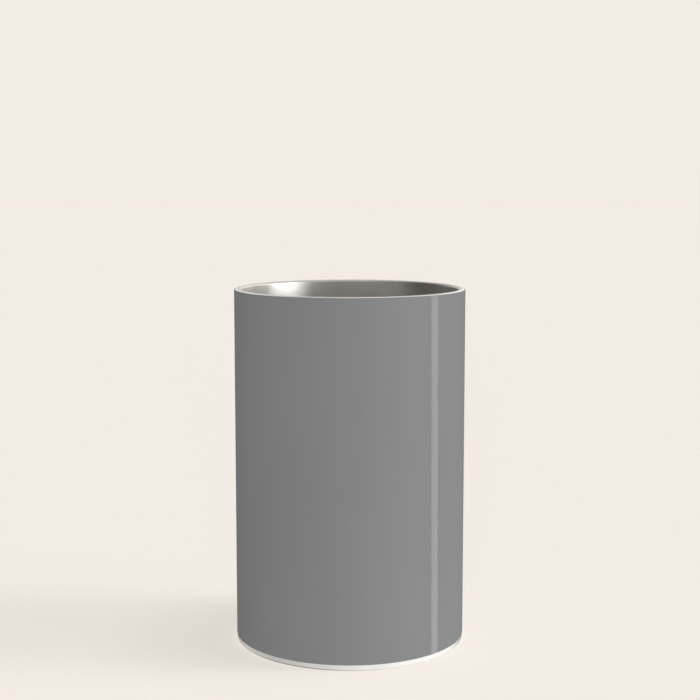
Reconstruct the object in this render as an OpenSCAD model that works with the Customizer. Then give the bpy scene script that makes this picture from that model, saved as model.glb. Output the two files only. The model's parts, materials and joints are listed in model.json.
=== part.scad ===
// Straight-sided insulated bottle chiller: a double steel wall with a vacuum between its
// two skins, open at the top, in a printed film that leaves the rim and the foot bare.
// Millimetres, +Z up. The origin is the centre of the footprint, at the pad's underside.

/* [Vessel] */
// Height from the surface it stands on to the top of the rim
vessel_h = 185.8; // [150:0.1:230]
// Outside diameter, over the printed film
vessel_d = 120; // [110:1:140]
// From the outside face in to the wall of the well
wall = 3.5; // [3.2:0.1:10]
// Height of the well's floor
well_floor_z = 17; // [16:0.5:40]
// Rounding between the well's wall and its floor
well_corner_r = 6; // [3:0.5:12]

/* [Sheet steel] */
// Thickness of every pressed and rolled sheet
sheet = 0.5; // [0.4:0.05:0.55]
// Outside radius where the outer shell turns in to the rim
shell_bend_r = 0.6; // [0.6:0.05:1]
// Outside radius where the liner turns out to the rim
liner_bend_r = 1.2; // [0.8:0.1:1.3]
// Radius of the dish pressed in the well's floor
dish_r = 28; // [15:1:32]
// Depth of that dish
dish_depth = 0.8; // [0.3:0.1:1.2]

/* [Printed film] */
// Thickness of the film and its clear coat
film = 0.25; // [0.15:0.05:0.3]
// Height of the film's lower edge
film_foot_z = 3.4; // [3:0.1:5]
// How far the film's upper edge laps over the start of the rim's bend
film_lap = 0.25; // [0:0.05:0.3]
// Width of the butt seam at the back
film_seam_w = 0.3; // [0.1:0.05:1]

/* [Insulation] */
// Thickness of the foil round the liner
foil = 0.15; // [0.1:0.05:0.3]
// Bare liner above and below the foil
foil_margin = 8; // [4:1:20]
// Height of the vacuum base above the standing surface
vacuum_base_z = 10; // [9:0.25:10.5]
// Outside radius at the rim of the vacuum base
vacuum_bend_r = 1.5; // [1:0.25:2]
// Radius of the pit that holds the seal
pit_r = 4.5; // [3:0.5:8]
// Height of the pit
pit_h = 1; // [0.8:0.1:1.2]
// Diameter of the port that the air is drawn out through
port_d = 2; // [1:0.5:3]
// Diameter of the getter pill
getter_d = 8; // [5:0.5:10]
// Thickness of the getter pill
getter_h = 2.5; // [1.5:0.25:3]

/* [Foot] */
// Outside radius of the base cover's corner
cover_bend_r = 0.8; // [0.8:0.1:2]
// Height of the seam between the outer shell and the base cover
cover_seam_z = 8; // [6:0.25:8]
// Outside radius of the ring round the base cover's recess
recess_r = 53.5; // [52:0.5:54]
// How far the pad stands below the base cover
pad_proud = 0.4; // [0.2:0.1:1]
// Diameter of the pad
pad_d = 100; // [80:1:101]
// Thickness of the pad
pad_h = 2.2; // [1.5:0.1:3]
// Thickness of the adhesive that holds the pad
glue = 0.2; // [0.1:0.05:0.3]
// Number of grooves in the pad's underside
pad_grooves = 3; // [0:1:4]

/* [Hidden] */

// Faces of the two skins
film_r = vessel_d / 2;
shell_r = film_r - film;
well_r = film_r - wall;
liner_r = well_r + sheet;
// The two flanges meet half way between their bends
rim_seam_r = (shell_r - shell_bend_r + well_r + liner_bend_r) / 2;
liner_foot_z = well_floor_z + well_corner_r;

// Pressed steps slope at this much run for each unit of rise
step_slope = 2;
dish_underside_z = well_floor_z - dish_depth - sheet;

// The spigot of the vacuum base reaches down inside the base cover
spigot_r = shell_r - sheet;
spigot_foot_z = cover_seam_z - 3;
pit_slope = 1;

clip_w = 3;
clip_t = 0.25;
clip_foot = 3.5;
clip_play = 0.05;
getter_z = dish_underside_z - getter_h;

seal_play = 0.05;
seal_h = 0.7;

recess_z = pad_h + glue;
recess_rise = recess_z - pad_proud;
recess_slope = 1;
glue_inset = 1;
groove_w = 1.5;
groove_h = 0.6;
groove_pitch = 10;

// Fineness of the round faces
round_fn = 180;
bend_fn = 64;

// ---- Profiles, with the radius along x and the height along y ----

// Sheet turned through a quarter circle: its centre, its outside radius and its quadrant's signs
module bend(centre, outside_r, sign_r, sign_z) {
    translate(centre) intersection() {
        difference() {
            circle(r = outside_r, $fn = bend_fn);
            circle(r = outside_r - sheet, $fn = bend_fn);
        }
        translate([min(0, sign_r) * outside_r, min(0, sign_z) * outside_r]) square(outside_r);
    }
}

// Rectangle from its lowest to its highest radius and height
module band(low, high) {
    translate(low) square(high - low);
}

// ---- Skins ----

module printed_film() {
    color([0.52, 0.52, 0.52]) difference() {
        rotate_extrude($fn = round_fn)
            band([shell_r, film_foot_z], [film_r, vessel_h - shell_bend_r + film_lap]);
        translate([-film_seam_w / 2, shell_r - 1, 0]) cube([film_seam_w, 2, vessel_h]);
    }
}

module outer_shell() {
    bend_r = shell_r - shell_bend_r;
    bend_z = vessel_h - shell_bend_r;
    color([0.8, 0.8, 0.79]) rotate_extrude($fn = round_fn) {
        band([shell_r - sheet, cover_seam_z], [shell_r, bend_z]);
        bend([bend_r, bend_z], shell_bend_r, 1, 1);
        band([rim_seam_r, vessel_h - sheet], [bend_r, vessel_h]);
    }
}

module liner_wall() {
    bend_r = well_r + liner_bend_r;
    bend_z = vessel_h - liner_bend_r;
    color([0.74, 0.73, 0.71]) rotate_extrude($fn = round_fn) {
        band([well_r, liner_foot_z], [liner_r, bend_z]);
        bend([bend_r, bend_z], liner_bend_r, -1, 1);
        band([bend_r, vessel_h - sheet], [rim_seam_r, vessel_h]);
    }
}

module liner_floor() {
    corner_r = well_r - well_corner_r;
    rim_r = dish_r + step_slope * dish_depth;
    color([0.72, 0.71, 0.69]) rotate_extrude($fn = round_fn) {
        bend([corner_r, liner_foot_z], well_corner_r + sheet, 1, -1);
        polygon([
            [0, dish_underside_z],
            [dish_r, dish_underside_z],
            [rim_r, well_floor_z - sheet],
            [corner_r, well_floor_z - sheet],
            [corner_r, well_floor_z],
            [rim_r, well_floor_z],
            [dish_r, well_floor_z - dish_depth],
            [0, well_floor_z - dish_depth],
        ]);
    }
}

// ---- Between the skins ----

module radiation_foil() {
    color([0.85, 0.86, 0.88]) rotate_extrude($fn = round_fn)
        band([liner_r, liner_foot_z + foil_margin],
             [liner_r + foil, vessel_h - liner_bend_r - foil_margin]);
}

module getter() {
    color([0.3, 0.3, 0.31]) translate([0, 0, getter_z])
        cylinder(d = getter_d, h = getter_h, $fn = round_fn);
}

// A strap that passes under the pill and is spot-welded to the well's floor on both sides
module getter_clip() {
    inside = getter_d / 2 + clip_play;
    outside = inside + clip_t;
    color([0.7, 0.7, 0.68]) {
        translate([-outside, -clip_w / 2, getter_z - clip_t]) cube([2 * outside, clip_w, clip_t]);
        for (side = [0, 1]) mirror([side, 0, 0]) {
            translate([inside, -clip_w / 2, getter_z - clip_t])
                cube([clip_t, clip_w, getter_h + clip_t]);
            translate([inside, -clip_w / 2, dish_underside_z - clip_t])
                cube([clip_foot, clip_w, clip_t]);
        }
    }
}

module vacuum_base() {
    bend_r = spigot_r - vacuum_bend_r;
    top_z = vacuum_base_z + sheet;
    bend_z = top_z - vacuum_bend_r;
    pit_foot_r = pit_r + pit_slope * pit_h;
    color([0.68, 0.68, 0.67]) rotate_extrude($fn = round_fn) {
        band([spigot_r - sheet, spigot_foot_z], [spigot_r, bend_z]);
        bend([bend_r, bend_z], vacuum_bend_r, 1, 1);
        polygon([
            [port_d / 2, vacuum_base_z + pit_h],
            [pit_r, vacuum_base_z + pit_h],
            [pit_foot_r, vacuum_base_z],
            [bend_r, vacuum_base_z],
            [bend_r, top_z],
            [pit_foot_r, top_z],
            [pit_r, top_z + pit_h],
            [port_d / 2, top_z + pit_h],
        ]);
    }
}

// Glass melted into the pit, with a stub that closes the port
module seal_bead() {
    stub_r = port_d / 2 - seal_play;
    pit_roof_z = vacuum_base_z + pit_h;
    color([0.25, 0.27, 0.24]) rotate_extrude($fn = round_fn) {
        band([0, pit_roof_z - seal_h], [pit_r - seal_play, pit_roof_z]);
        band([0, pit_roof_z], [stub_r, pit_roof_z + sheet]);
    }
}

// ---- Foot ----

module base_cover() {
    bend_r = shell_r - cover_bend_r;
    bend_z = pad_proud + cover_bend_r;
    ring_top_z = pad_proud + sheet;
    inner_r = recess_r - recess_slope * recess_rise;
    color([0.8, 0.8, 0.79]) rotate_extrude($fn = round_fn) {
        band([shell_r - sheet, bend_z], [shell_r, cover_seam_z]);
        bend([bend_r, bend_z], cover_bend_r, 1, -1);
        polygon([
            [0, recess_z],
            [inner_r, recess_z],
            [recess_r, pad_proud],
            [bend_r, pad_proud],
            [bend_r, ring_top_z],
            [recess_r, ring_top_z],
            [inner_r, recess_z + sheet],
            [0, recess_z + sheet],
        ]);
    }
}

module pad_adhesive() {
    color([0.85, 0.84, 0.8]) translate([0, 0, pad_h])
        cylinder(r = pad_d / 2 - glue_inset, h = glue, $fn = round_fn);
}

module base_pad() {
    color([0.16, 0.16, 0.17]) difference() {
        cylinder(d = pad_d, h = pad_h, $fn = round_fn);
        for (i = [0 : 1 : pad_grooves - 1]) {
            outer_r = pad_d / 2 - groove_pitch * (i + 1);
            translate([0, 0, -groove_h]) rotate_extrude($fn = round_fn)
                band([outer_r - groove_w, 0], [outer_r, 2 * groove_h]);
        }
    }
}

printed_film();
outer_shell();
liner_wall();
liner_floor();
radiation_foil();
getter();
getter_clip();
vacuum_base();
seal_bead();
base_cover();
pad_adhesive();
base_pad();
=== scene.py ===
import json
import math

import bmesh
import bpy
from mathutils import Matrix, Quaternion, Vector, noise


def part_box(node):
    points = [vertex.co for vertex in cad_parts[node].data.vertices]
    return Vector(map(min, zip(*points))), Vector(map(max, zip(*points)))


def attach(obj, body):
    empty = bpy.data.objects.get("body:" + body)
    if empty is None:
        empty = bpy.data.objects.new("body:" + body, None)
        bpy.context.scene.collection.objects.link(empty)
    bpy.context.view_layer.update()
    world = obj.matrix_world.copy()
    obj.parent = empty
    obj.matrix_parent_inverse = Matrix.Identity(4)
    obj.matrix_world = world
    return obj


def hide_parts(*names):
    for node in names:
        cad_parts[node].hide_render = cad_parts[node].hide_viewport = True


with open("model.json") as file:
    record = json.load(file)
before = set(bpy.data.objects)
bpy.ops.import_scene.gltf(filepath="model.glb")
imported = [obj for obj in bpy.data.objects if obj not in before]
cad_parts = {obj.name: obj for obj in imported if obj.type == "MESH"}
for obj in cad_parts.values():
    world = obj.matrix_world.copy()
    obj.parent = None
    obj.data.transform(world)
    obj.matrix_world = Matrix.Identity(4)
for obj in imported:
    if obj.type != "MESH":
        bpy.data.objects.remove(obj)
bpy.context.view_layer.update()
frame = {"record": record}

MM = 0.001

# ---- The camera, at the photograph's viewing angle ----

CAMERA_PLACE = (0.13 * MM, -752.8 * MM, 245.3 * MM)
# Degrees below level
CAMERA_PITCH = 6.976
# Focal length and film width, both in the camera's own millimetres
CAMERA_LENS = 74.63
CAMERA_SENSOR = 36
CAMERA_NEAR, CAMERA_FAR = 0.01, 50


def make_camera():
    data = bpy.data.cameras.new("camera")
    data.lens = CAMERA_LENS
    data.sensor_width = CAMERA_SENSOR
    data.clip_start, data.clip_end = CAMERA_NEAR, CAMERA_FAR
    camera = bpy.data.objects.new("camera", data)
    camera.location = CAMERA_PLACE
    camera.rotation_euler = (math.radians(90 - CAMERA_PITCH), 0, 0)
    bpy.context.scene.collection.objects.link(camera)
    bpy.context.scene.camera = camera


make_camera()

# ---- Sizes, read from the frame ----


def named(rows, name):
    """The row with this name in a list from the record."""
    return next(row for row in rows if row["name"] == name)


def mount_radius(name):
    return named(frame["record"]["mounts"], name)["dims"]["r_mm"] * MM


def radius(node):
    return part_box(node)[1].x


def span(node):
    """The lowest and highest Z of a node."""
    low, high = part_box(node)
    return low.z, high.z


WELL_R = mount_radius("bottle_well")
FILM_R = mount_radius("outer_wall")
FILM_FOOT, FILM_TOP = span("printed_film")
SHELL_R = radius("outer_shell")
SHELL_FOOT, RIM_Z = span("outer_shell")
RIM_SEAM_R = radius("liner_wall")
LINER_FOOT = span("liner_wall")[0]
FLOOR_UNDER = span("liner_floor")[0]
SHEET = radius("liner_floor") - WELL_R
COVER_FOOT, COVER_TOP = span("base_cover")
PAD_R = radius("base_pad")
PAD_TOP = span("base_pad")[1]
GLUE_R = radius("pad_adhesive")
GLUE_TOP = span("pad_adhesive")[1]
FOIL_R = radius("radiation_foil")
FOIL_FOOT, FOIL_TOP = span("radiation_foil")
GETTER_R = radius("getter")
GETTER_FOOT, GETTER_TOP = span("getter")
STRAP_LOW, STRAP_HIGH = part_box("getter_clip")
INNER_BASE_R = radius("vacuum_base")
INNER_BASE_FOOT, INNER_BASE_TOP = span("vacuum_base")
SEAL_R = radius("seal_bead")
SEAL_FOOT, SEAL_TOP = span("seal_bead")

# ---- Mesh tools ----

# Steps round a turned piece
SEGMENTS = 256
# Points closer than this are one point
SAME_PLACE = 1e-7
# Edges that turn by more degrees than this stay sharp
SHARP_ANGLE = 32


def arc(r, z, size, start, end, steps=8):
    """Points on the arc of a circle round (r, z), with its angles in degrees."""
    angles = [math.radians(start + (end - start) * i / steps) for i in range(steps + 1)]
    return [(r + size * math.cos(a), z + size * math.sin(a)) for a in angles]


def finish_mesh(name, bm):
    """Cleans and shades the mesh, and puts it in the scene as an object."""
    bmesh.ops.remove_doubles(bm, verts=bm.verts, dist=SAME_PLACE)
    bmesh.ops.recalc_face_normals(bm, faces=bm.faces)
    for face in bm.faces:
        face.smooth = True
    for edge in bm.edges:
        edge.smooth = edge.calc_face_angle(math.pi) < math.radians(SHARP_ANGLE)
    mesh = bpy.data.meshes.new(name)
    bm.to_mesh(mesh)
    bm.free()
    piece = bpy.data.objects.new(name, mesh)
    bpy.context.scene.collection.objects.link(piece)
    return piece


# How near a side's ends its holding points are, and how long a side has to be to get them
HOLD = 0.15 * MM
LONG_SIDE = 6 * HOLD


def hold_flats(outline):
    """Adds a point near each end of every long side, so that smooth shading leaves it flat. A side that
    lies on the axis needs none."""
    points = []
    for (r, z), (next_r, next_z) in zip(outline, outline[1:] + outline[:1]):
        points.append((r, z))
        length = math.hypot(next_r - r, next_z - z)
        if length > LONG_SIDE and max(r, next_r) > 0:
            for share in (HOLD / length, 1 - HOLD / length):
                points.append((r + (next_r - r) * share, z + (next_z - z) * share))
    return points


def lathe(name, outline, gap=0.0, shape=None):
    """Turns a closed outline of (radius, height) points round Z. A gap, in radians, is left open at +Y.
    shape(angle, r, z) gives the radius and height that a point has at that angle."""
    outline = hold_flats(outline)
    bm = bmesh.new()
    closed = gap == 0
    first = math.pi / 2 + gap / 2
    count = SEGMENTS if closed else SEGMENTS + 1
    rings = []
    for i in range(count):
        angle = first + (2 * math.pi - gap) * i / SEGMENTS
        points = [shape(angle, r, z) if shape else (r, z) for r, z in outline]
        rings.append([bm.verts.new((r * math.cos(angle), r * math.sin(angle), z)) for r, z in points])
    for i in range(count if closed else count - 1):
        ring, following = rings[i], rings[(i + 1) % count]
        for j in range(len(outline)):
            k = (j + 1) % len(outline)
            if outline[j][0] > 0 or outline[k][0] > 0:
                corners = [ring[j], following[j], following[k], ring[k]]
                if outline[j][0] == 0:
                    corners = [ring[j], following[k], ring[k]]
                elif outline[k][0] == 0:
                    corners = [ring[j], following[j], ring[k]]
                bm.faces.new(corners)
    if not closed:
        bm.faces.new(rings[0])
        bm.faces.new(rings[-1])
    return finish_mesh(name, bm)


def skin(name, sections):
    """Joins a row of closed loops of points into one solid. Each loop runs up one side of the solid
    and down the other."""
    bm = bmesh.new()
    rings = [[bm.verts.new(point) for point in loop] for loop in sections]
    count = len(rings[0])
    for ring, following in zip(rings, rings[1:]):
        for j in range(count):
            k = (j + 1) % count
            bm.faces.new([ring[j], following[j], following[k], ring[k]])
    for ring in (rings[0], rings[-1]):
        for j in range(count // 2 - 1):
            bm.faces.new([ring[j], ring[j + 1], ring[count - 2 - j], ring[count - 1 - j]])
    return finish_mesh(name, bm)


# ---- Material tools ----


class Tree:
    """A node tree, with short ways to add to it."""

    def __init__(self, tree):
        self.tree = tree

    def add(self, kind, **settings):
        node = self.tree.nodes.new(kind)
        for key, value in settings.items():
            setattr(node, key, value)
        return node

    def link(self, source, target):
        self.tree.links.new(source, target)

    def math(self, operation, *values):
        node = self.add("ShaderNodeMath", operation=operation)
        for socket, value in zip(node.inputs, values):
            if isinstance(value, (int, float)):
                socket.default_value = value
            else:
                self.link(value, socket)
        return node.outputs[0]

    def spread(self, value, low, high, start=0.25, end=0.75):
        """Maps value from start..end to low..high."""
        node = self.add("ShaderNodeMapRange")
        for socket, number in zip(("From Min", "From Max", "To Min", "To Max"), (start, end, low, high)):
            node.inputs[socket].default_value = number
        self.link(value, node.inputs["Value"])
        return node.outputs["Result"]

    def mix_shader(self, share, first, second):
        node = self.add("ShaderNodeMixShader")
        for socket, source in zip(node.inputs, (share, first, second)):
            self.link(source, socket)
        return node.outputs[0]


class Nodes(Tree):
    """A material's node tree."""

    def __init__(self, name):
        self.material = bpy.data.materials.new(name)
        self.material.use_nodes = True
        super().__init__(self.material.node_tree)
        self.shader = self.tree.nodes["Principled BSDF"]
        self.place = self.add("ShaderNodeTexCoord").outputs["Object"]

    def stretched(self, scale):
        """The place on the object, scaled by (x, y, z)."""
        node = self.add("ShaderNodeMapping")
        node.inputs["Scale"].default_value = scale
        self.link(self.place, node.inputs["Vector"])
        return node.outputs["Vector"]

    def parts(self):
        """The x, y and z of the place on the object."""
        node = self.add("ShaderNodeSeparateXYZ")
        self.link(self.place, node.inputs[0])
        return tuple(node.outputs)

    def turned(self, radial, vertical, around=0.0):
        """A place that changes with radius and height, and a little round the axis, for lathe marks."""
        x, y, z = self.parts()
        r = self.math("SQRT", self.math("ADD", self.math("MULTIPLY", x, x), self.math("MULTIPLY", y, y)))
        joined = self.add("ShaderNodeCombineXYZ")
        across = self.math("ADD", self.math("MULTIPLY", r, radial), self.math("MULTIPLY", x, around))
        down = self.math("ADD", self.math("MULTIPLY", z, vertical), self.math("MULTIPLY", y, around))
        self.link(across, joined.inputs[0])
        self.link(down, joined.inputs[1])
        return joined.outputs[0]

    def noise(self, vector, scale, detail=2.0, roughness=0.5):
        node = self.add("ShaderNodeTexNoise")
        node.inputs["Scale"].default_value = scale
        node.inputs["Detail"].default_value = detail
        node.inputs["Roughness"].default_value = roughness
        self.link(vector, node.inputs["Vector"])
        return node.outputs["Fac"]

    def tint(self, value, dark, light):
        node = self.add("ShaderNodeMix", data_type="RGBA")
        node.inputs["A"].default_value = (*dark, 1)
        node.inputs["B"].default_value = (*light, 1)
        self.link(value, node.inputs["Factor"])
        return node.outputs["Result"]

    def colour(self, value, dark, light):
        self.link(self.tint(value, dark, light), self.shader.inputs["Base Color"])

    def bump(self, height, distance, strength=1.0, after=None):
        node = self.add("ShaderNodeBump")
        node.inputs["Distance"].default_value = distance
        node.inputs["Strength"].default_value = strength
        self.link(height, node.inputs["Height"])
        if after:
            self.link(after, node.inputs["Normal"])
        return node.outputs["Normal"]

    def put(self, **values):
        for key, value in values.items():
            self.shader.inputs[key.replace("_", " ")].default_value = value


# ---- Materials ----


def film_material():
    """Mid-grey print under a clear semi-gloss coat, with a fine print grain and a trace of orange peel."""
    n = Nodes("printed_film")
    grain = n.noise(n.place, 2600, detail=3)
    drift = n.noise(n.place, 14, detail=1)
    both = n.math("ADD", n.math("MULTIPLY", grain, 0.6), n.math("MULTIPLY", drift, 0.4))
    n.colour(n.spread(both, 0, 1, 0.35, 0.65), (0.206, 0.207, 0.209), (0.222, 0.223, 0.225))
    n.link(n.spread(drift, 0.34, 0.4), n.shader.inputs["Roughness"])
    n.link(n.bump(n.noise(n.place, 420, detail=1), 0.5 * MM, 0.002), n.shader.inputs["Normal"])
    n.put(Specular_IOR_Level=0.0, Coat_Weight=0.15, Coat_Roughness=0.03, Coat_IOR=1.45)
    return n.material


def polished_steel_material():
    """Polished stainless sheet with faint turned lines."""
    n = Nodes("polished_steel")
    lines = n.noise(n.turned(9000, 9000, 60), 1, detail=3)
    cloud = n.noise(n.place, 60, detail=3)
    n.colour(n.spread(cloud, 0, 1), (0.78, 0.775, 0.765), (0.86, 0.855, 0.845))
    n.link(n.spread(lines, 0.16, 0.28), n.shader.inputs["Roughness"])
    n.link(n.bump(lines, 0.02 * MM, 0.15), n.shader.inputs["Normal"])
    n.put(Metallic=1.0)
    return n.material


# Where the crest of the liner's weld ends and where the weld fades out, each side of its middle
WELD_CREST = 0.2 * MM
WELD_EDGE = 0.6 * MM
WELD_HEIGHT = 0.05 * MM


def satin_wall_material():
    """Satin stainless sheet with fine polishing lines, a mottled polish and one long weld at the front."""
    n = Nodes("satin_wall")
    lines = n.noise(n.turned(0, 4000, 20), 1, detail=3)
    mottle = n.noise(n.stretched((90, 90, 25)), 1, detail=3)
    n.colour(n.spread(mottle, 0, 1), (0.62, 0.605, 0.575), (0.72, 0.705, 0.68))
    x, y, _ = n.parts()
    line = n.spread(n.math("ABSOLUTE", x), 1, 0, WELD_CREST, WELD_EDGE)
    weld = n.math("MULTIPLY", line, n.spread(y, 1, 0, -WELD_CREST, WELD_CREST))
    rough = n.math("ADD", n.spread(lines, -0.03, 0.03), n.spread(mottle, 0.34, 0.42))
    n.link(n.math("MULTIPLY_ADD", weld, 0.1, rough), n.shader.inputs["Roughness"])
    polish = n.bump(lines, 0.02 * MM, 0.3)
    n.link(n.bump(weld, WELD_HEIGHT, after=polish), n.shader.inputs["Normal"])
    n.put(Metallic=1.0, Anisotropic=0.4, Anisotropic_Rotation=0.25)
    round_axis = n.add("ShaderNodeTangent", direction_type="RADIAL", axis="Z")
    n.link(round_axis.outputs[0], n.shader.inputs["Tangent"])
    return n.material


def spun_floor_material():
    """Satin stainless sheet with the rings that spinning leaves."""
    n = Nodes("spun_floor")
    rings = n.noise(n.turned(3500, 3500, 15), 1, detail=3)
    mottle = n.noise(n.place, 70, detail=3)
    n.colour(n.spread(mottle, 0, 1), (0.6, 0.59, 0.565), (0.7, 0.69, 0.665))
    n.link(n.spread(rings, 0.22, 0.36), n.shader.inputs["Roughness"])
    n.link(n.bump(rings, 0.03 * MM, 0.35), n.shader.inputs["Normal"])
    n.put(Metallic=1.0)
    return n.material


def pressed_steel_material():
    """Dull stainless sheet as it leaves the press."""
    n = Nodes("pressed_steel")
    grain = n.noise(n.place, 900, detail=4)
    mottle = n.noise(n.place, 80, detail=3)
    n.colour(n.spread(mottle, 0, 1), (0.5, 0.495, 0.48), (0.62, 0.615, 0.6))
    n.link(n.spread(grain, 0.35, 0.5), n.shader.inputs["Roughness"])
    n.link(n.bump(grain, 0.02 * MM, 0.4), n.shader.inputs["Normal"])
    n.put(Metallic=1.0)
    return n.material


def foil_material():
    """Bright thin foil with fine creases."""
    n = Nodes("foil")
    creases = n.add("ShaderNodeTexVoronoi", feature="DISTANCE_TO_EDGE")
    creases.inputs["Scale"].default_value = 160
    n.link(n.place, creases.inputs["Vector"])
    mottle = n.noise(n.place, 200, detail=3)
    n.colour(n.spread(mottle, 0, 1), (0.8, 0.81, 0.82), (0.9, 0.905, 0.91))
    n.link(n.spread(mottle, 0.14, 0.26), n.shader.inputs["Roughness"])
    n.link(n.bump(creases.outputs["Distance"], 0.4 * MM, 0.4), n.shader.inputs["Normal"])
    n.put(Metallic=1.0)
    return n.material


def getter_material():
    """Dark sintered metal."""
    n = Nodes("getter")
    grain = n.noise(n.place, 5000, detail=4)
    n.colour(n.spread(grain, 0, 1), (0.11, 0.11, 0.115), (0.22, 0.22, 0.225))
    n.link(n.spread(grain, 0.55, 0.75), n.shader.inputs["Roughness"])
    n.link(n.bump(grain, 0.05 * MM, 0.6), n.shader.inputs["Normal"])
    n.put(Metallic=0.6)
    return n.material


def seal_material():
    """Dark solder glass with a melted skin."""
    n = Nodes("seal_glass")
    flow = n.noise(n.place, 500, detail=3)
    n.colour(n.spread(flow, 0, 1), (0.06, 0.065, 0.055), (0.13, 0.14, 0.12))
    n.link(n.spread(flow, 0.12, 0.3), n.shader.inputs["Roughness"])
    n.link(n.bump(flow, 0.1 * MM, 0.4), n.shader.inputs["Normal"])
    return n.material


def adhesive_material():
    """Milky adhesive film with trapped air."""
    n = Nodes("adhesive")
    air = n.noise(n.place, 350, detail=2)
    n.colour(n.spread(air, 0, 1), (0.68, 0.66, 0.6), (0.8, 0.785, 0.74))
    n.link(n.spread(air, 0.4, 0.6), n.shader.inputs["Roughness"])
    return n.material


def silicone_material():
    """Matt charcoal silicone with a fine moulded grain and a little dust."""
    n = Nodes("silicone")
    grain = n.noise(n.place, 3000, detail=2)
    dust = n.noise(n.place, 120, detail=4)
    n.colour(n.spread(dust, 0, 1, 0.4, 0.8), (0.042, 0.042, 0.044), (0.062, 0.061, 0.06))
    n.link(n.spread(dust, 0.62, 0.74), n.shader.inputs["Roughness"])
    n.link(n.bump(grain, 0.04 * MM, 0.4), n.shader.inputs["Normal"])
    return n.material


# ---- Pieces ----


def keep(piece, node, material):
    """Puts the piece in its CAD node's place."""
    piece.data.materials.append(material)
    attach(piece, "root")
    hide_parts(node)


FILM_EDGE_R = 0.05 * MM
# The gap between the film's two ends
FILM_SEAM_W = 0.3 * MM


def make_film():
    """The film, with its cut edges softened and its butt seam at the back."""
    outline = [(SHELL_R, FILM_FOOT)]
    outline += arc(FILM_R - FILM_EDGE_R, FILM_FOOT + FILM_EDGE_R, FILM_EDGE_R, -90, 0, steps=4)
    outline += arc(FILM_R - FILM_EDGE_R, FILM_TOP - FILM_EDGE_R, FILM_EDGE_R, 0, 90, steps=4)
    outline += [(SHELL_R, FILM_TOP)]
    return lathe("film", outline, gap=FILM_SEAM_W / FILM_R)


# Outside radius of the shell's bend at the rim
SHELL_BEND = 0.6 * MM
# Rounding of the two skins where they meet at the rim
RIM_GROOVE = 0.05 * MM


def make_shell():
    """The outer tube, turned in at the rim to a weld that shows as a hairline."""
    bend_r, bend_z = SHELL_R - SHELL_BEND, RIM_Z - SHELL_BEND
    outline = [(SHELL_R, SHELL_FOOT)]
    outline += arc(bend_r, bend_z, SHELL_BEND, 0, 90)
    outline += arc(RIM_SEAM_R + RIM_GROOVE, RIM_Z - RIM_GROOVE, RIM_GROOVE, 90, 180, steps=3)
    outline += [(RIM_SEAM_R, RIM_Z - SHEET)]
    outline += arc(bend_r, bend_z, SHELL_BEND - SHEET, 90, 0)
    outline += [(SHELL_R - SHEET, SHELL_FOOT)]
    return lathe("shell", outline)


# Outside radius of the liner's bend at the rim
LINER_BEND = 1.2 * MM


def make_liner():
    """The wall of the well, turned out at the rim."""
    bend_r, bend_z = WELL_R + LINER_BEND, RIM_Z - LINER_BEND
    outline = [(WELL_R + SHEET, LINER_FOOT)]
    outline += arc(bend_r, bend_z, LINER_BEND - SHEET, 180, 90)
    outline += [(RIM_SEAM_R, RIM_Z - SHEET)]
    outline += arc(RIM_SEAM_R - RIM_GROOVE, RIM_Z - RIM_GROOVE, RIM_GROOVE, 0, 90, steps=3)
    outline += arc(bend_r, bend_z, LINER_BEND, 90, 180, steps=12)
    outline += [(WELL_R, LINER_FOOT)]
    return lathe("liner", outline)


# The space for the bottle starts this far above the floor of the well
BOTTLE_GAP = 0.2 * MM
WELL_FLOOR = named(frame["record"]["physics"]["openings"], "well_across")["box_m"][0][2] - BOTTLE_GAP
# The dish pressed in that floor: its radius, the run of its edge for each unit of rise, and how far that
# edge is softened past both ends of the run
DISH_R = 28 * MM
DISH_SLOPE = 2
DISH_SOFT = 1.6 * MM


def pressed_step(r_in, z_in, r_out, z_out, soft):
    """A pressed step's S-curve, from its inner side to its outer side. It runs on past each by soft."""
    steps = 10
    points = []
    for i in range(steps + 1):
        t = i / steps
        ease = t * t * (3 - 2 * t)
        points.append((r_in - soft + (r_out - r_in + 2 * soft) * t, z_in + (z_out - z_in) * ease))
    return points


def make_floor_of_well():
    """The dished floor and the rounding that meets the wall."""
    corner = LINER_FOOT - WELL_FLOOR
    corner_r = WELL_R - corner
    depth = WELL_FLOOR - SHEET - FLOOR_UNDER
    rim_r = DISH_R + DISH_SLOPE * depth
    low = WELL_FLOOR - depth
    step = pressed_step(DISH_R, low, rim_r, WELL_FLOOR, DISH_SOFT)
    outline = [(0, low)] + step
    outline += arc(corner_r, LINER_FOOT, corner, -90, 0, steps=14)
    outline += arc(corner_r, LINER_FOOT, corner + SHEET, 0, -90, steps=14)
    outline += [(r, z - SHEET) for r, z in reversed(step)]
    outline += [(0, low - SHEET)]
    return lathe("well_floor", outline)


# Outside radius of the cover's lower edge
COVER_BEND = 0.8 * MM
# Where the recess for the pad starts, and the softness of its edge
RECESS_R = 53.5 * MM
RECESS_SOFT = 0.8 * MM


def make_cover():
    """The pressed cover under the vessel: its rounded edge, its ring and the recess for the pad."""
    bend_r, bend_z = SHELL_R - COVER_BEND, COVER_FOOT + COVER_BEND
    rise = GLUE_TOP - COVER_FOOT
    step = pressed_step(RECESS_R - rise, GLUE_TOP, RECESS_R, COVER_FOOT, RECESS_SOFT)
    outline = [(SHELL_R, COVER_TOP)]
    outline += arc(bend_r, bend_z, COVER_BEND, 0, -90, steps=14)
    outline += list(reversed(step))
    outline += [(0, GLUE_TOP), (0, GLUE_TOP + SHEET)]
    outline += [(r, z + SHEET) for r, z in step]
    outline += arc(bend_r, bend_z, COVER_BEND - SHEET, -90, 0, steps=14)
    outline += [(SHELL_R - SHEET, COVER_TOP)]
    return lathe("cover", outline)


FOIL_THICK = 0.03 * MM
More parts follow.
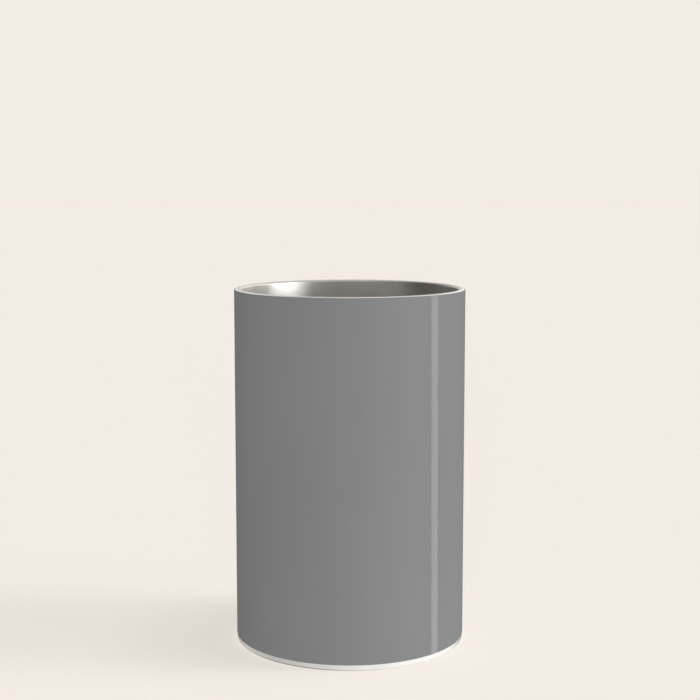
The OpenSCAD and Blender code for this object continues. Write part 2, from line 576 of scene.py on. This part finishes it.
# How far the crinkles stand in and out, how fine they are round the wall and up it, and how far they have
# changed when the foil comes round to its start
FOIL_CRINKLE = 0.025 * MM
CRINKLES_ROUND = 9
CRINKLES_UP = 140
CRINKLES_CHANGE = 5
# How far the foil's ends overlap, in radians
FOIL_LAP = 0.16
# Steps up the foil and round it
FOIL_ROWS = 48
FOIL_STEPS = 288


def make_foil():
    """Thin foil wrapped once round the liner: it is crinkled, and its ends overlap at the back."""
    inside = WELL_R + SHEET + FOIL_CRINKLE
    climb = FOIL_R - FOIL_THICK - FOIL_CRINKLE - inside
    sections = []
    for i in range(FOIL_STEPS + 1):
        share = i / FOIL_STEPS
        angle = math.pi / 2 - FOIL_LAP / 2 + (2 * math.pi + FOIL_LAP) * share
        outer, inner = [], []
        for j in range(FOIL_ROWS + 1):
            z = FOIL_FOOT + (FOIL_TOP - FOIL_FOOT) * j / FOIL_ROWS
            level = CRINKLES_UP * z + CRINKLES_CHANGE * share
            place = Vector((CRINKLES_ROUND * math.cos(angle), CRINKLES_ROUND * math.sin(angle), level))
            r = inside + climb * share + FOIL_CRINKLE * noise.noise(place)
            outer.append(((r + FOIL_THICK) * math.cos(angle), (r + FOIL_THICK) * math.sin(angle), z))
            inner.append((r * math.cos(angle), r * math.sin(angle), z))
        sections.append(outer + inner[::-1])
    return skin("foil", sections)


GETTER_CHAMFER = 0.3 * MM


def make_pill():
    """The pressed getter pill, with its chamfers."""
    soft = GETTER_R - GETTER_CHAMFER
    outline = [
        (0, GETTER_FOOT),
        (soft, GETTER_FOOT),
        (GETTER_R, GETTER_FOOT + GETTER_CHAMFER),
        (GETTER_R, GETTER_TOP - GETTER_CHAMFER),
        (soft, GETTER_TOP),
        (0, GETTER_TOP),
    ]
    return lathe("pill", outline)


STRAP_THICK = 0.25 * MM
# Play between the pill and the strap
STRAP_PLAY = 0.05 * MM
# Radius of the strap's bends, along its middle
STRAP_BEND = 0.3 * MM
# Where a foot's rounded end has its sections: places from the tip, as shares of the strap's half width
STRAP_TIP_STEPS = (0.02, 0.08, 0.2, 0.4, 0.7, 1)


def make_strap():
    """The strap under the pill: sheet bent round it to two feet with rounded ends."""
    half = STRAP_HIGH.y
    foot_z = STRAP_HIGH.z - STRAP_THICK / 2
    low_z = STRAP_LOW.z + STRAP_THICK / 2
    leg_x = GETTER_R + STRAP_PLAY + STRAP_THICK / 2
    side = [(STRAP_HIGH.x - half * step, foot_z) for step in STRAP_TIP_STEPS]
    side += arc(leg_x + STRAP_BEND, foot_z - STRAP_BEND, STRAP_BEND, 90, 180, steps=6)
    side += arc(leg_x - STRAP_BEND, low_z + STRAP_BEND, STRAP_BEND, 0, -90, steps=6)
    path = side + [(-x, z) for x, z in reversed(side)]
    sections = []
    for i, (x, z) in enumerate(path):
        before, after = path[max(i - 1, 0)], path[min(i + 1, len(path) - 1)]
        along = Vector((after[0] - before[0], after[1] - before[1])).normalized()
        across = Vector((-along.y, along.x)) * STRAP_THICK / 2
        tip = max(0, half - (STRAP_HIGH.x - abs(x)))
        width = math.sqrt(half * half - tip * tip)
        top, under = (x + across.x, z + across.y), (x - across.x, z - across.y)
        sections.append([(top[0], -width, top[1]), (top[0], width, top[1]),
                         (under[0], width, under[1]), (under[0], -width, under[1])])
    return skin("strap", sections)


# Outside radius of the inner base's upper edge
INNER_BASE_BEND = 1.5 * MM
# The pit for the seal: its radius, its height and the softness of its edge, and the port in its middle
PIT_R = 4.5 * MM
PIT_H = 1 * MM
PIT_SOFT = 0.3 * MM
PORT_R = 1 * MM


def make_inner_base():
    """The disc that closes the space between the skins: its spigot, and the pit and port of the seal."""
    bend_r = INNER_BASE_R - INNER_BASE_BEND
    bend_z = INNER_BASE_TOP - PIT_H - INNER_BASE_BEND
    step = pressed_step(PIT_R, INNER_BASE_TOP, PIT_R + PIT_H, INNER_BASE_TOP - PIT_H, PIT_SOFT)
    outline = [(INNER_BASE_R, INNER_BASE_FOOT)]
    outline += arc(bend_r, bend_z, INNER_BASE_BEND, 0, 90)
    outline += list(reversed(step))
    outline += [(PORT_R, INNER_BASE_TOP), (PORT_R, INNER_BASE_TOP - SHEET)]
    outline += [(r, z - SHEET) for r, z in step]
    outline += arc(bend_r, bend_z, INNER_BASE_BEND - SHEET, 90, 0)
    outline += [(INNER_BASE_R - SHEET, INNER_BASE_FOOT)]
    return lathe("inner_base", outline)


# How far the bead's edge rises above the lowest point of its underside
SEAL_DOME = 0.35 * MM
SEAL_DOME_STEPS = 12
SEAL_STUB_R = 0.95 * MM
SEAL_STUB_SOFT = 0.25 * MM


def make_seal():
    """The melted bead: domed underneath, with a stub that runs up into the port."""
    shares = [i / SEAL_DOME_STEPS for i in range(SEAL_DOME_STEPS + 1)]
    stub_r = SEAL_STUB_R - SEAL_STUB_SOFT
    outline = [(SEAL_R * share, SEAL_FOOT + SEAL_DOME * share ** 4) for share in shares]
    outline += [(SEAL_R, SEAL_TOP - SHEET), (SEAL_STUB_R, SEAL_TOP - SHEET)]
    outline += arc(stub_r, SEAL_TOP - SEAL_STUB_SOFT, SEAL_STUB_SOFT, 0, 90, steps=4)
    outline += [(0, SEAL_TOP)]
    return lathe("seal", outline)


# How far in the adhesive's edge wanders, and how finely
GLUE_WANDER = 0.4 * MM
GLUE_WAVES = 3
# How far that edge stands out between its two faces
GLUE_EDGE = 0.1 * MM


def make_glue():
    """The adhesive film: its edge wanders where it has crept."""
    middle = (PAD_TOP + GLUE_TOP) / 2

    def wander(angle, r, z):
        place = Vector((GLUE_WAVES * math.cos(angle), GLUE_WAVES * math.sin(angle), 0))
        return r * (1 - GLUE_WANDER / GLUE_R * (0.5 + 0.5 * noise.noise(place))), z

    outline = [(0, PAD_TOP), (GLUE_R - GLUE_EDGE, PAD_TOP), (GLUE_R, middle)]
    outline += [(GLUE_R - GLUE_EDGE, GLUE_TOP), (0, GLUE_TOP)]
    return lathe("glue", outline, shape=wander)


PAD_SOFT = 0.4 * MM
# Outer radii of the grooves in the pad's underside
GROOVES = (40 * MM, 30 * MM, 20 * MM)
GROOVE_W = 1.5 * MM
GROOVE_H = 0.6 * MM
GROOVE_SOFT = 0.2 * MM


def groove(outer_r):
    """A groove in a flat underside at height zero, with all four of its corners rounded."""
    inner_r = outer_r - GROOVE_W
    roof = GROOVE_H - GROOVE_SOFT
    points = arc(outer_r + GROOVE_SOFT, GROOVE_SOFT, GROOVE_SOFT, -90, -180, steps=4)
    points += arc(outer_r - GROOVE_SOFT, roof, GROOVE_SOFT, 0, 90, steps=4)
    points += arc(inner_r + GROOVE_SOFT, roof, GROOVE_SOFT, 90, 180, steps=4)
    points += arc(inner_r - GROOVE_SOFT, GROOVE_SOFT, GROOVE_SOFT, 0, -90, steps=4)
    return points


def make_pad():
    """The moulded pad that the vessel stands on."""
    outline = [(0, PAD_TOP)]
    outline += arc(PAD_R - PAD_SOFT, PAD_TOP - PAD_SOFT, PAD_SOFT, 90, 0)
    outline += arc(PAD_R - PAD_SOFT, PAD_SOFT, PAD_SOFT, 0, -90)
    for outer_r in GROOVES:
        outline += groove(outer_r)
    outline += [(0, 0)]
    return lathe("pad", outline)


def make_pieces():
    polished = polished_steel_material()
    pressed = pressed_steel_material()
    keep(make_film(), "printed_film", film_material())
    keep(make_shell(), "outer_shell", polished)
    keep(make_liner(), "liner_wall", satin_wall_material())
    keep(make_floor_of_well(), "liner_floor", spun_floor_material())
    keep(make_foil(), "radiation_foil", foil_material())
    keep(make_pill(), "getter", getter_material())
    keep(make_strap(), "getter_clip", pressed)
    keep(make_inner_base(), "vacuum_base", pressed)
    keep(make_seal(), "seal_bead", seal_material())
    keep(make_cover(), "base_cover", polished)
    keep(make_glue(), "pad_adhesive", adhesive_material())
    keep(make_pad(), "base_pad", silicone_material())


# ---- Floor and light ----

BACKDROP = (0.896, 0.839, 0.776)
# Half the stage's width in metres, and the cells along it
STAGE_SIZE = 12
STAGE_CELLS = 8
# The share of the stage's brightness that shadows can take away
SHADED_SHARE = 0.5

# Far soft lights, seen by matt surfaces only. For each: its turn from the back in degrees, clockwise from
# above; its height in degrees; and what it gives an upright wall that faces its way
SUNS = {
    "key": (93, 35, 0.244),
    "top": (85, 75, 0.041),
    "low": (110, 10, 0.166),
    "front": (180, 10, 0.38),
}
# How wide each of them looks, in degrees
SUN_SOFT = 20
# The even light that matt surfaces get from above and from below the horizon
GLOW_ABOVE = 0.171
GLOW_BELOW = 0.994
# How far each side of the horizon the change from one to the other reaches
HORIZON = 0.02

# The studio that shiny surfaces show, by direction: x runs to the right, y to the back and z up.
STUDIO_TINT = (1, 0.975, 0.94)
# Below the horizon: how bright it is, what it gains to the right, and the share that is left of it at the
# back, with where it dims
LOW_LEVEL = 0.93
LOW_RIGHT = 0.3
LOW_BACK = 0.5
BACK_DIMS = (0.55, 0.9)
# The shade steeply below, at the left: the share it takes, the lean of its edge, and where it fades out,
# upward and to the right
SHADE_DEPTH = 0.75
SHADE_LEAN = 0.35
SHADE_UP = (-0.95, -0.6)
SHADE_ACROSS = (-0.3, 0.5)
# Above the horizon: what the front and the back both give, what the back gives more and the front less,
# half of what the right side gives, what the ceiling gives, and twice what the corner between the right
# side and the back gives
HIGH_ENDS = 0.75
HIGH_BACK = 0.13
HIGH_RIGHT = 0.45
HIGH_CEILING = 0.8
HIGH_CORNER = 1.2

# Panels that only some shiny pieces show: sizes and places in metres, powers in watts. The strip, which the
# film shows, leans by its tilt in degrees
STRIP_SIZE = (0.155, 1.0)
STRIP_PLACE = (1.0, 0.014, -0.12)
STRIP_TILT = 7.5
STRIP_POWER = 6.0
SIDE_SIZE = (0.7, 0.25)
SIDE_PLACE = (0.97, -0.22, 0.27)
SIDE_POWER = 5.5
FILL_SIZE = (2.0, 1.2)
FILL_PLACE = (-1.0, 0.1, 0.65)
FILL_POWER = 6


def stage_light():
    """How bright the lights make a level white surface, where 1 is full white."""
    return GLOW_ABOVE + sum(level * math.tan(math.radians(height)) for _, height, level in SUNS.values())


def make_stage():
    """The floor: it fades into the backdrop, and takes soft shadows."""
    bm = bmesh.new()
    bmesh.ops.create_grid(bm, x_segments=STAGE_CELLS, y_segments=STAGE_CELLS, size=STAGE_SIZE)
    stage = finish_mesh("stage", bm)
    n = Nodes("stage")
    own_light = 1 - SHADED_SHARE * stage_light()
    n.put(
        Base_Color=(*(SHADED_SHARE * c for c in BACKDROP), 1),
        Roughness=1.0,
        Specular_IOR_Level=0.0,
        Emission_Color=(*BACKDROP, 1),
        Emission_Strength=own_light,
    )
    stage.data.materials.append(n.material)
    stage.visible_glossy = False
    stage.visible_diffuse = False
    stage.visible_shadow = False


def studio_below(n, x, y, z):
    """The studio's brightness below the horizon."""
    shade = n.spread(n.math("MULTIPLY_ADD", x, SHADE_LEAN, z), 1, 0, *SHADE_UP)
    shade = n.math("MULTIPLY", shade, n.spread(x, 1, 0, *SHADE_ACROSS))
    level = n.math("MULTIPLY_ADD", x, LOW_RIGHT, LOW_LEVEL)
    level = n.math("MULTIPLY", level, n.spread(y, 1, LOW_BACK, *BACK_DIMS))
    return n.math("MULTIPLY", level, n.math("MULTIPLY_ADD", shade, -SHADE_DEPTH, 1))


def studio_above(n, x, y, z):
    """The studio's brightness above the horizon."""
    ends = n.math("MULTIPLY", n.math("MULTIPLY", y, y), HIGH_ENDS)
    level = n.math("MULTIPLY_ADD", y, HIGH_BACK, ends)
    side = n.math("MULTIPLY_ADD", x, HIGH_RIGHT, HIGH_RIGHT)
    level = n.math("ADD", level, n.math("MULTIPLY", n.math("MULTIPLY", x, x), side))
    level = n.math("MULTIPLY_ADD", n.math("POWER", z, 4), HIGH_CEILING, level)
    corner = n.math("MULTIPLY", n.spread(x, 0, 1, 0, 1), n.spread(y, 0, 1, 0, 1))
    return n.math("MULTIPLY_ADD", corner, HIGH_CORNER, level)


def make_world():
    """An even backdrop for the camera, a glow for matt surfaces and a graded studio for glossy ones."""
    world = bpy.data.worlds.new("studio")
    bpy.context.scene.world = world
    world.use_nodes = True
    n = Tree(world.node_tree)
    output = world.node_tree.nodes["World Output"]
    backdrop = world.node_tree.nodes["Background"]
    backdrop.inputs["Color"].default_value = (*BACKDROP, 1)
    parts = n.add("ShaderNodeSeparateXYZ")
    n.link(n.add("ShaderNodeTexCoord").outputs["Generated"], parts.inputs[0])
    x, y, z = parts.outputs
    above = n.spread(z, 0, 1, -HORIZON, HORIZON)
    below = n.math("SUBTRACT", 1, above)
    lower = n.math("MULTIPLY", studio_below(n, x, y, z), below)
    upper = n.math("MULTIPLY", studio_above(n, x, y, z), above)
    studio = n.add("ShaderNodeBackground")
    studio.inputs["Color"].default_value = (*STUDIO_TINT, 1)
    n.link(n.math("ADD", lower, upper), studio.inputs["Strength"])
    glow = n.add("ShaderNodeBackground")
    glow.inputs["Color"].default_value = (1, 1, 1, 1)
    n.link(n.spread(z, GLOW_BELOW, GLOW_ABOVE, -HORIZON, HORIZON), glow.inputs["Strength"])
    rays = n.add("ShaderNodeLightPath")
    seen = n.mix_shader(rays.outputs["Is Glossy Ray"], glow.outputs[0], studio.outputs[0])
    seen = n.mix_shader(rays.outputs["Is Camera Ray"], seen, backdrop.outputs[0])
    n.link(seen, output.inputs["Surface"])


def add_light(name, data, place, rotation):
    light = bpy.data.objects.new(name, data)
    light.location = place
    light.rotation_euler = rotation
    bpy.context.scene.collection.objects.link(light)
    return light


def soft_sun(name, turn, height, level):
    """Even light from one side, as from a softbox far away."""
    turn, height = math.radians(turn), math.radians(height)
    data = bpy.data.lights.new(name, "SUN")
    data.energy = level * math.pi / math.cos(height)
    data.angle = math.radians(SUN_SOFT)
    side = Vector((math.sin(turn) * math.cos(height), math.cos(turn) * math.cos(height), math.sin(height)))
    light = add_light(name, data, side, side.to_track_quat("Z", "Y").to_euler())
    light.visible_glossy = False


def glossy_panel(name, size, place, tilt, power, pieces):
    """A panel that shows only in the shiny faces of these pieces. It faces the vessel, turned by tilt
    in its own plane."""
    data = bpy.data.lights.new(name, "AREA")
    data.shape = "RECTANGLE"
    data.size, data.size_y = size
    data.energy = power
    facing = Vector(place) * Vector((1, 1, 0))
    rotation = facing.to_track_quat("Z", "Y") @ Quaternion((0, 0, 1), math.radians(tilt))
    panel = add_light(name, data, place, rotation.to_euler())
    panel.visible_diffuse = False
    panel.light_linking.receiver_collection = bpy.data.collections.new(name)
    for piece in pieces:
        panel.light_linking.receiver_collection.objects.link(bpy.data.objects[piece])


def make_lights():
    for name, (turn, height, level) in SUNS.items():
        soft_sun(name, turn, height, level)
    glossy_panel("strip", STRIP_SIZE, STRIP_PLACE, STRIP_TILT, STRIP_POWER, ["film"])
    glossy_panel("side", SIDE_SIZE, SIDE_PLACE, 0, SIDE_POWER, ["liner", "well_floor"])
    glossy_panel("fill", FILL_SIZE, FILL_PLACE, 0, FILL_POWER, ["shell", "cover"])


def studio_colours():
    """The view transform that the colours here are set for."""
    view = bpy.context.scene.view_settings
    view.view_transform = "Standard"
    view.look = "None"


make_pieces()
make_stage()
make_world()
make_lights()
studio_colours()
